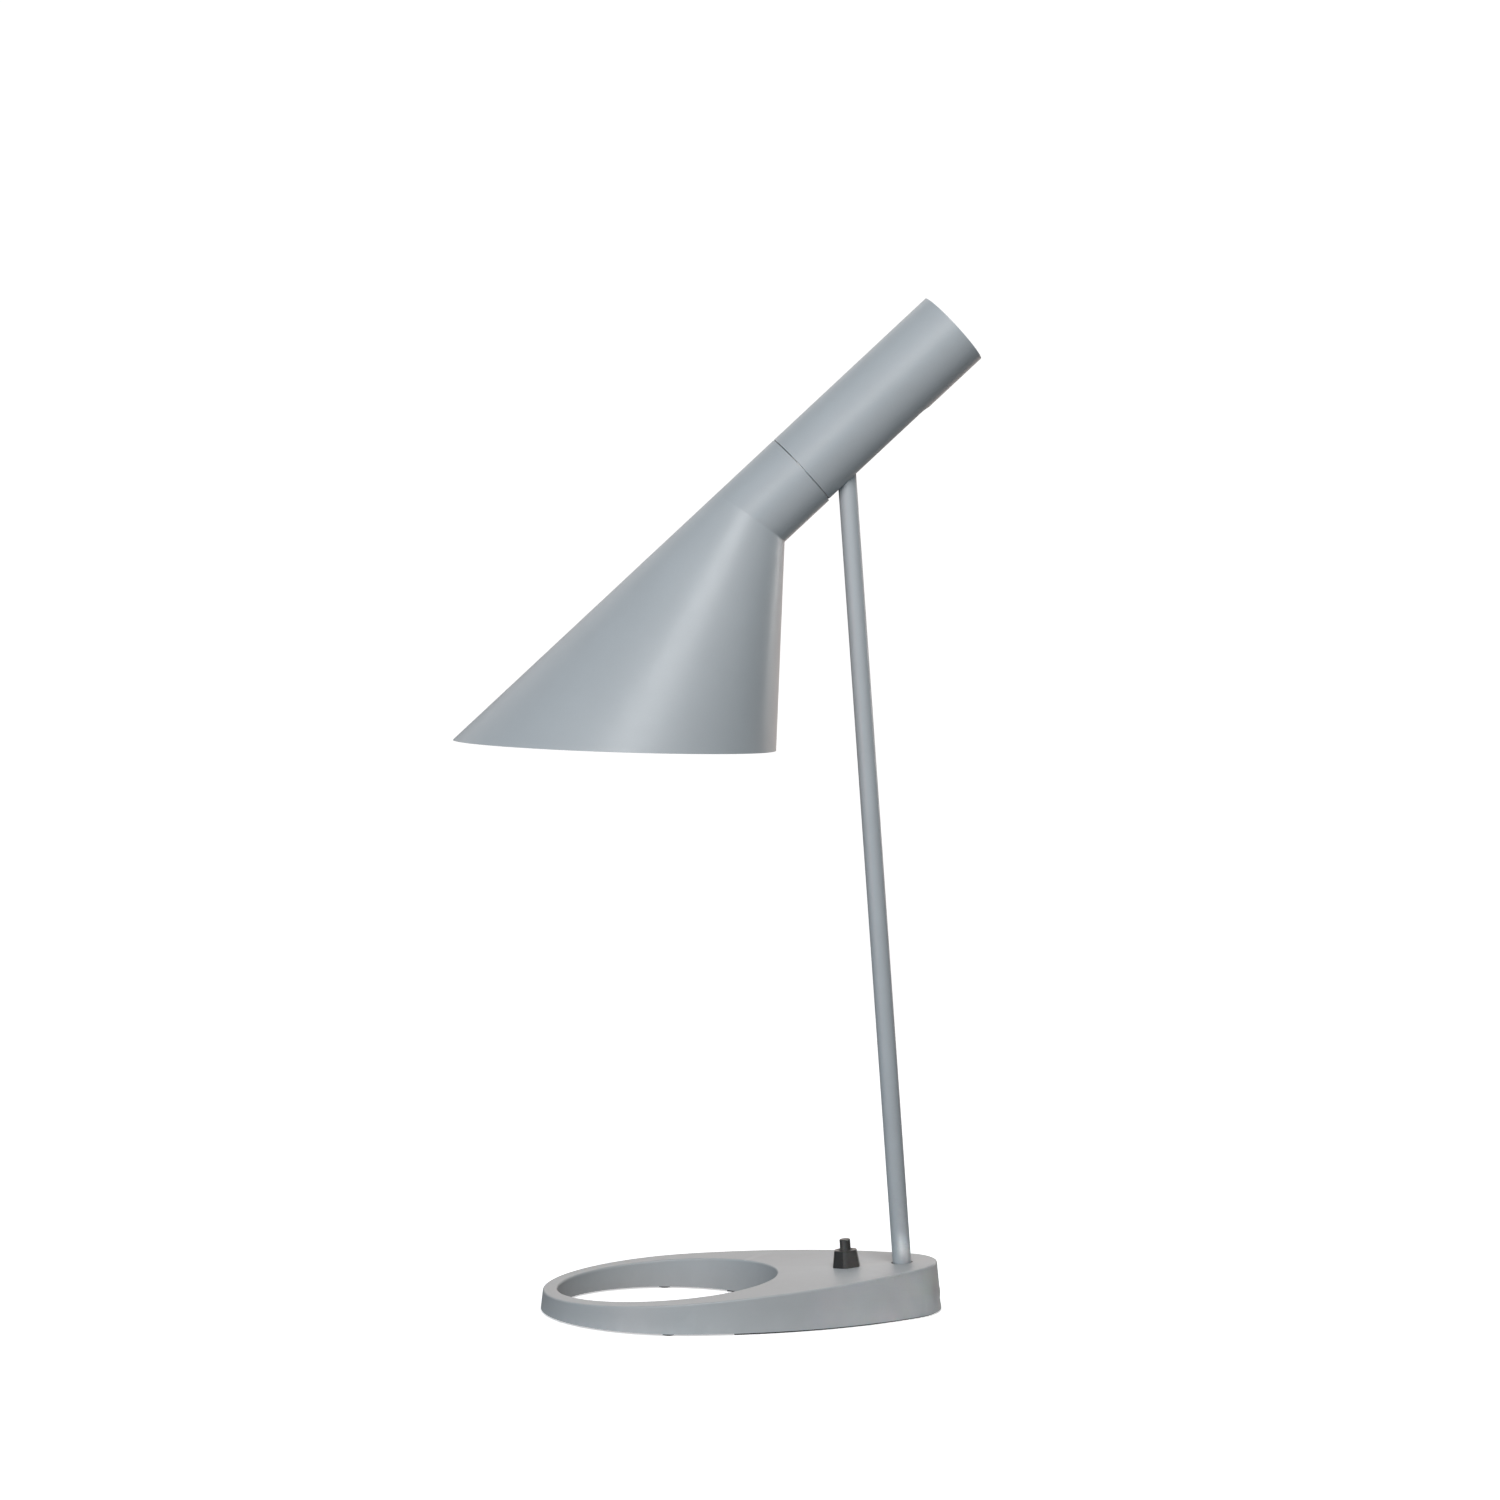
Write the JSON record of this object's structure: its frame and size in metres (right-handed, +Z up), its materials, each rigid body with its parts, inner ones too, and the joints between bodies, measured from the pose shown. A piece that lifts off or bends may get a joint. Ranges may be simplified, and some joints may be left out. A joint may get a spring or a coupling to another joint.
{
  "type": "desk lamp",
  "caption": "Desk lamp with an egg-shaped ring base, a slim leaning stem, a push switch, and a tilting slotted tube that flows into a slanted cone shade.",
  "frame": {"origin": "where the stem's axis meets the table, on the underside of the rear pad", "axes": "+Z up, +X towards the rear of the lamp (the shade points towards -X), +Y to the left of the lamp seen from behind the shade's opening; the lamp is symmetric about Y = 0"},
  "size_m": [0.2897, 0.162, 0.5599],
  "materials": {
    "grey_paint": "satin, fine-grained pale blue-grey powder coat",
    "base_paint": "satin, fine-grained pale grey powder coat over cast iron",
    "black_plastic": "semi-gloss black moulding",
    "black_moulding": "matt black moulding",
    "black_rubber": "matt black rubber",
    "plated_steel": "bright zinc plate",
    "black_steel": "black oxide",
    "washer_plastic": "natural nylon",
    "brass": "plain",
    "white_plastic": "heat-resistant white moulding",
    "ceramic_insert": "unglazed steatite",
    "lead_sheath": "flexible insulated lead",
    "cast_aluminium": "as cast",
    "nickel_cap": "nickel-plated brass",
    "frosted_glass": "inside-frosted"
  },
  "bodies": {
    "base": {"base_casting": "base_paint", "base_cover": "plated_steel", "cover_screws": "plated_steel", "base_pad": "black_rubber", "front_feet": "black_rubber", "cord_grommet": "black_rubber", "stem": "grey_paint", "stem_ring": "black_rubber", "stem_grub_screws": "black_steel", "stem_fork": "plated_steel", "friction_washers": "washer_plastic", "spring_washers": "plated_steel", "pivot_screws": "plated_steel", "switch_collar": "black_plastic", "switch_washer": "plated_steel", "switch_body": "black_moulding", "switch_terminals": "brass", "switch_spring": "plated_steel", "terminal_block": "white_plastic", "terminal_screws": "plated_steel", "stem_lead": "lead_sheath", "switch_leads": "lead_sheath"},
    "button": {"switch_plunger": "black_plastic"},
    "head": {"shade": "grey_paint", "head_tube": "grey_paint", "tube_end_cap": "grey_paint", "neck_coupling": "cast_aluminium", "hinge_bracket": "plated_steel", "lampholder_shell": "white_plastic", "lampholder_screws": "plated_steel", "lampholder_insert": "ceramic_insert", "lampholder_contact": "brass", "lampholder_thread": "brass", "bulb_cap": "nickel_cap", "bulb_glass": "frosted_glass", "pivot_lead": "lead_sheath"}
  },
  "joints": [
    {"name": "head_tilt", "type": "hinge", "parent": "base", "child": "head", "pos_m": [-0.0379, 0, 0.487], "axis": [0, 1, 0], "range_deg": [-7, 90]},
    {"name": "switch_press", "type": "slide", "parent": "base", "child": "button", "axis": [0.0732, 0, -0.9973], "range_m": [0, 0.0025], "stiffness_N_per_m": 800, "springref_m": -0.001, "deforming": ["switch_spring"]}
  ]
}
